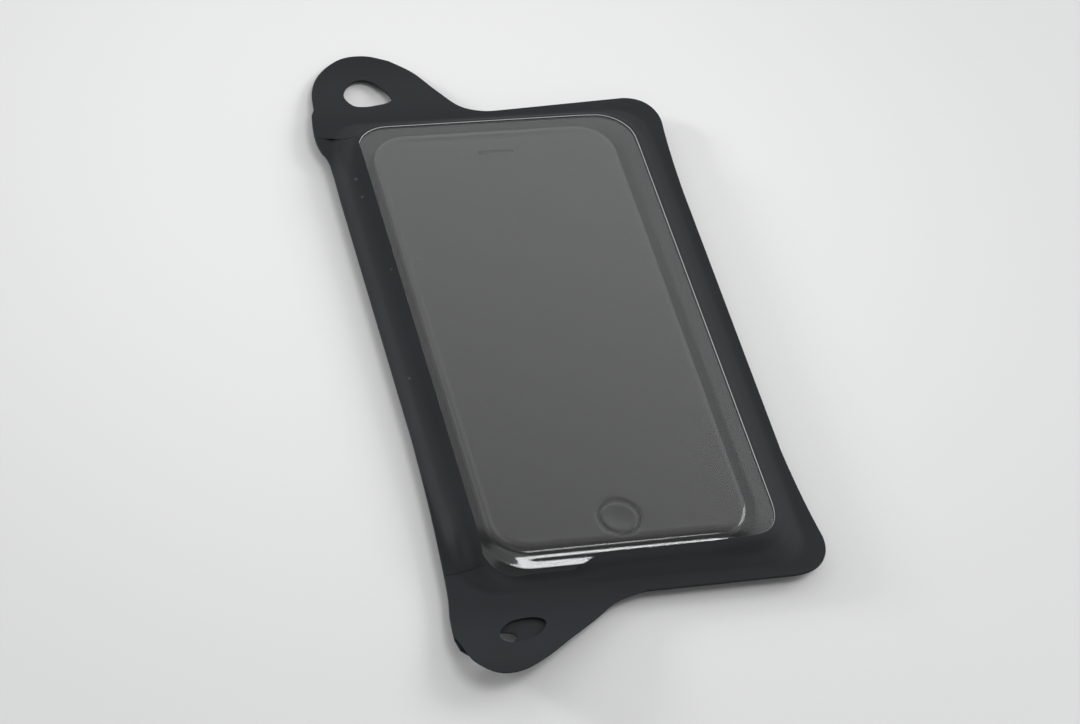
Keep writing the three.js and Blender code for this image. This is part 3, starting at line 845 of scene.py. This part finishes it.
def back_under(x, y):
    """Underside of the back sheet, pressed up against the front sheet along the rim."""
    lips = lip(x, y) * along_mouth(x, y)
    closed = towards_rim(x, y, FLAT_BACK) ** CLOSE_POWER * (1 - along_mouth(x, y)) + lips
    return back_at(x, y) + (SHEET_GAP + CLOSE_MORE) * closed + LIP_RISE * lips


def back_top(x, y):
    """Upper face of the back sheet, its thickness above the underside."""
    return back_under(x, y) + BACK_THICK


def film_top(x, y):
    """The film as it shows in the window; beyond the window's edge it runs under the front sheet."""
    hidden = front_under(x, y) - FILM_BELOW
    return np.where(off_window(x, y) > 0, np.minimum(film_at(x, y), hidden), film_at(x, y))


def film_under(x, y):
    """Underside of the film, its thickness below the upper face."""
    return film_top(x, y) - FILM_LOOK


def strip_under(x, y):
    """Underside of the strip, just clear of the front sheet."""
    return front_top(x, y) + STRIP_ABOVE


def strip_top(x, y):
    """The strip lies on the front sheet and is drawn thin towards its lower end."""
    return front_top(x, y) + STRIP_THIN + STRIP_GAIN * ease((y - STRIP_LOW) / STRIP_TAPER)


def strip_outline():
    """The facing strip: straight inner edge and ends, its outer edge that of the front sheet."""
    left = FRONT_EDGE[:, 0] < -40
    side = FRONT_EDGE[left & (FRONT_EDGE[:, 1] < STRIP_OUTER_HIGH) & (FRONT_EDGE[:, 1] > STRIP_OUTER_LOW)]
    low, high = side[-1], side[0]
    return np.concatenate([
        side, straight((low[0], STRIP_LOW), (STRIP_EDGE, STRIP_LOW)),
        straight((STRIP_EDGE, STRIP_LOW), (STRIP_EDGE, STRIP_HIGH)),
        straight((STRIP_EDGE, STRIP_HIGH), (high[0], high[1])),
    ])


LUG_HOLE = round_trip(*TOP_HOLE)
front = cut_sheet("front_sheet", FRONT_EDGE, [WINDOW_EDGE, LUG_HOLE, bottom_hole(0.5, 1.1)],
                  front_top, front_under, (ACROSS, ALONG), 0.07, window=True)
back = cut_sheet("back_sheet", sheet_outline(BACK_LUG), [LUG_HOLE, bottom_hole(-5.9, -1.3, 0.78)],
                 back_top, back_under, (ACROSS, ALONG), 0.14)
film = cut_sheet("window_sheet", rounded(FILM), [], film_top, film_under, (FILM_ACROSS, FILM_ALONG), 0.1)
strip = cut_sheet("facing_strip", strip_outline(), [], strip_top, strip_under, (ACROSS, ALONG), 0.045)


# Handset

# How far the half-round side goes on above its middle, in how many rows, then inset and height of
# each row of the shoulder
SIDE_PAST, SIDE_ROWS = 0.4, 14
SHOULDER = [(0.06, 5.6), (0.2, 6.1), (0.42, 6.5), (0.7, 6.75), (0.9, 6.9)]
# The glass: inset of its outer edge, width and fall of its curved border and how many rows it has,
# and how far its flat top lies below the handset's height
GLASS_INSET, GLASS_BORDER, GLASS_FALL, GLASS_ROWS, GLASS_DOWN = 0.75, 2.1, 0.57, 14, 0.03
# Clearances in the glass round the key's ring and the lens, and the small chamfer of each opening
RING_CLEAR, LENS_CLEAR, CHAMFER = 0.04, 0.03, 0.06

handset_edge = rounded_ring(WIDTH, LENGTH, CORNER)


def side_rows(low, high, count):
    """Rows of a half-round side: inset SIDE - sqrt(SIDE squared - height from its middle squared)."""
    t = np.linspace(0, 1, count)
    z = low + (high - low) * (1 - np.cos(math.pi * t)) / 2
    off = z - (HANDSET_BASE + SIDE)
    return [(SIDE - math.sqrt(max(SIDE ** 2 - o * o, 0)), h) for o, h in zip(off, z)]


def circle(cx, cy, radius):
    """A whole circle, an arc of four quarter turns."""
    return arc(cx, cy, radius, 0, 4)


def slot_loop(long, wide, y):
    """A slot across the middle with half-round ends."""
    half, r = (long - wide) / 2, wide / 2
    return np.concatenate([straight((-half, y - r), (half, y - r)), arc(half, y, r, -1, 1),
                           straight((half, y + r), (-half, y + r)), arc(-half, y, r, 1, 3)])


def glass_plate():
    """The front glass: a flat top with openings, its outer edge curving down by the cube of the way out."""
    t = np.linspace(0, 1, GLASS_ROWS)[::-1]
    top = HANDSET_TOP - GLASS_DOWN
    rows = [(GLASS_INSET + GLASS_BORDER * (1 - k), top - GLASS_FALL * k ** 3) for k in t]
    n = 4 * SEGMENTS
    layers = [np.column_stack([handset_edge(by), np.full(n, z)]) for by, z in rows]
    openings = [circle(0, KEY_Y, RING_RADIUS + RING_CLEAR), slot_loop(SPEAKER_LONG, SPEAKER_WIDE, SPEAKER_Y),
                circle(LENS_X, SPEAKER_Y, LENS_RADIUS + LENS_CLEAR)]
    points, faces, total = [np.concatenate(layers)], [strips(len(rows), n)], n * len(rows)
    top_rings, low_rings = [(len(rows) - 1) * n + np.arange(n)], [np.arange(n)]
    for opening in openings:
        loop = counterclockwise(opening)[::-1]
        m = len(loop)
        walls = [np.column_stack([inset(loop, by), np.full(m, z)]) for by, z in
                 ((CHAMFER, top), (0.0, top - CHAMFER), (0.0, HANDSET_TOP - GLASS))]
        points.append(np.concatenate(walls))
        faces.append(total + strips(3, m)[:, ::-1])
        top_rings.append(total + np.arange(m))
        low_rings.append(total + 2 * m + np.arange(m))
        total += 3 * m
    base = np.concatenate(points)
    for rings, flip in ((top_rings, False), (low_rings, True)):
        index = np.concatenate(rings)
        plates = index[triangulated(base[index, :2], ring_edges(rings), [base[ring, :2] for ring in rings])]
        faces.append(plates[:, ::-1] if flip else plates)
    plate = mesh_piece("handset_glass", base, [f for group in faces for f in group])
    flat = np.concatenate([np.full(len(group), k > len(openings)) for k, group in enumerate(faces)])
    plate.data.polygons.foreach_set("use_smooth", ~flat)
    return plate


shell = ring_body("handset_shell", handset_edge,
                  side_rows(HANDSET_BASE, HANDSET_BASE + SIDE + SIDE_PAST, SIDE_ROWS) + SHOULDER)
glass = glass_plate()
key_top = HANDSET_TOP - 0.1
key = turned("handset_key", [(0, key_top - KEY_DEPTH), (KEY_RADIUS - 0.1, key_top - KEY_DEPTH),
                             (KEY_RADIUS, key_top - KEY_DEPTH + 0.1), (KEY_RADIUS, key_top - 0.08),
                             (KEY_RADIUS - 0.05, key_top - 0.02), (KEY_RADIUS - 0.2, key_top),
                             (KEY_RADIUS - 0.8, key_top - 0.05), (KEY_RADIUS * 0.6, key_top - 0.16),
                             (KEY_RADIUS * 0.3, key_top - 0.24), (0, key_top - 0.28)], 0, KEY_Y)
seat, ring_inner, ring_top = HANDSET_TOP - GLASS, KEY_RADIUS + 0.2, HANDSET_TOP + 0.05
ring = turned("handset_key_ring", [(ring_inner, seat), (RING_RADIUS, seat), (RING_RADIUS, ring_top - 0.06),
                                   (RING_RADIUS - 0.08, ring_top), (ring_inner + 0.2, ring_top),
                                   (ring_inner, ring_top - 0.18), (ring_inner, seat)], 0, KEY_Y)
speaker = ring_body("speaker_screen", lambda by: slot_loop(SPEAKER_LONG - 0.1, SPEAKER_WIDE - 0.1, SPEAKER_Y),
                    [(0, seat), (0, HANDSET_TOP - 0.25)])
lens = turned("front_lens", [(0, seat), (LENS_RADIUS, seat), (LENS_RADIUS, HANDSET_TOP - 0.14),
                             (LENS_RADIUS - 0.1, HANDSET_TOP - 0.08), (LENS_RADIUS * 0.5, HANDSET_TOP - 0.05),
                             (0, HANDSET_TOP - 0.05)], LENS_X, SPEAKER_Y)
for piece in (shell, key, ring, lens, speaker):
    merged(piece)


# Finishes and bodies of the pieces, with the slot listed for each

# Piece: body, slot, finish, the CAD node that it stands for
dress = {
    # The front sheet's finish carries a painted highlight along the window's cut edge
    front: ("pouch", "black_sheet", sheet_finish("black_sheet_edge_highlight", BLACK, 0.56, cut=True), "front_frame"),
    back: ("pouch", "black_sheet", sheet_finish("black_sheet", BLACK, 0.56), "back_panel"),
    strip: ("pouch", "black_sheet", sheet_finish("facing_black", STRIP_BLACK, 0.54, crease_shade_and_marks=True),
            "closure_strip"),
    film: ("pouch", "clear_film", film_finish(), "window_film"),
    shell: ("pouch", "dark_metal", plain_finish("dark_metal", (0.05, 0.052, 0.055), 0.24, metal=0.85),
            "phone_housing"),
    glass: ("pouch", "black_glass",
            plain_finish("black_glass", (0.006, 0.006, 0.0065), 0.06, size=20, coat=0.2), "phone_glass"),
    key: ("home_key", "key_face", plain_finish("key_face", (0.008, 0.008, 0.009), 0.12, size=2),
          "phone_home_key"),
    ring: ("pouch", "key_ring", plain_finish("key_ring", (0.005, 0.005, 0.005), 0.3, metal=1.0, size=1),
           "phone_home_ring"),
    speaker: ("pouch", "speaker_mesh", mesh_finish(), "phone_speaker_mesh"),
    lens: ("pouch", "lens", plain_finish("lens", (0.01, 0.011, 0.016), 0.05, size=1, coat=0.5),
           "phone_front_lens"),
}
for piece, (body, slot, material, node) in dress.items():
    piece.data.materials.append(material)
    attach(piece, body)
    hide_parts(node)

profile_finish = plain_finish("closure_profile", (0.02, 0.021, 0.023), 0.42, size=2)
for name in ("closure_rib", "closure_channel"):
    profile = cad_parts[name]
    profile.data.materials.clear()
    profile.data.materials.append(profile_finish)


# Floor, lights, camera

FLOOR_HALF = 2.5
WALL = math.radians(64)
# Width of the camera's film in millimetres, width of the photo and focal length in its pixels
CAMERA_WIDE, PHOTO_WIDE, FOCAL = 36, 1080, 3500


def floor():
    """A plain square sheet under the pouch."""
    a = FLOOR_HALF
    mesh = bpy.data.meshes.new("floor")
    mesh.from_pydata([(-a, -a, 0), (a, -a, 0), (a, a, 0), (-a, a, 0)], [], [(0, 1, 2, 3)])
    board = bpy.data.objects.new("floor", mesh)
    board.data.materials.append(floor_finish())
    bpy.context.scene.collection.objects.link(board)


def lamp(name, place, size, radiance):
    """A rectangular lamp of one radiance over its face, turned to the middle of the floor."""
    data = bpy.data.lights.new(name, "AREA")
    data.shape = "RECTANGLE"
    data.size, data.size_y = size
    data.energy = radiance * math.pi * size[0] * size[1]
    light = bpy.data.objects.new(name, data)
    bpy.context.scene.collection.objects.link(light)
    way = -np.array(place, float)
    way /= np.linalg.norm(way)
    side = np.cross(way, (0, 0, 1))
    side /= np.linalg.norm(side)
    up = np.cross(side, way)
    turn = np.stack([side, up, -way], 1).tolist()
    light.matrix_world = Matrix([[*row, p] for row, p in zip(turn, place)] + [[0, 0, 0, 1]])


def surroundings():
    """A dim pale room with a bright wall far behind the object, its light falling off with height.

    Levels are shares of white. The wall is full low down and has a faint belt halfway up. The side
    of the room in front of the object is dim, a pale patch lies overhead, and all has a base level.
    """
    room = Finish(bpy.data.worlds.new("room"))
    bpy.context.scene.world = room.owner
    way = room.place("Generated")
    height = room.node("ShaderNodeSeparateXYZ", values={"Vector": way}, output=2)
    across = room.node("ShaderNodeVectorMath", {"operation": "DOT_PRODUCT"},
                       {0: way, 1: (math.cos(WALL), math.sin(WALL), 0)}, output=1)
    wall = across.between(-0.3, 0.2)
    low = height.between(0.88, 0.66)
    wall_level = low * 0.72 + height.between(0.3, 0.66) * low * 0.15
    front_level = height.between(0.6, 0.35) * 0.35
    level = wall * wall_level + (1 - wall) * front_level + height.between(0.91, 0.97) * 0.4 + 0.25
    glow = room.node("ShaderNodeBackground", values={"Color": (1, 1, 1, 1), "Strength": level})
    room.output(glow, "ShaderNodeOutputWorld")


floor()
lamp("overhead", (0.30, -0.32, 1.35), (0.64, 0.30), 7.4)
lamp("right", (1.15, 0.28, 0.72), (0.7, 0.5), 6.1)
lamp("low_left", (-1.30, 0.72, 0.36), (0.35, 0.22), 54.0)
surroundings()

camera_data = bpy.data.cameras.new("camera")
camera_data.sensor_width = CAMERA_WIDE
camera_data.lens = FOCAL / PHOTO_WIDE * CAMERA_WIDE
camera = bpy.data.objects.new("camera", camera_data)
bpy.context.scene.collection.objects.link(camera)
camera.matrix_world = Matrix((
    (0.951664, 0.077192, -0.297284, -0.263813),
    (-0.250159, 0.756382, -0.604407, -0.530152),
    (0.178205, 0.649560, 0.739131, 0.642597),
    (0, 0, 0, 1),
))
camera_data.clip_start = 0.01
bpy.context.scene.camera = camera
bpy.context.scene.view_settings.view_transform = "Standard"
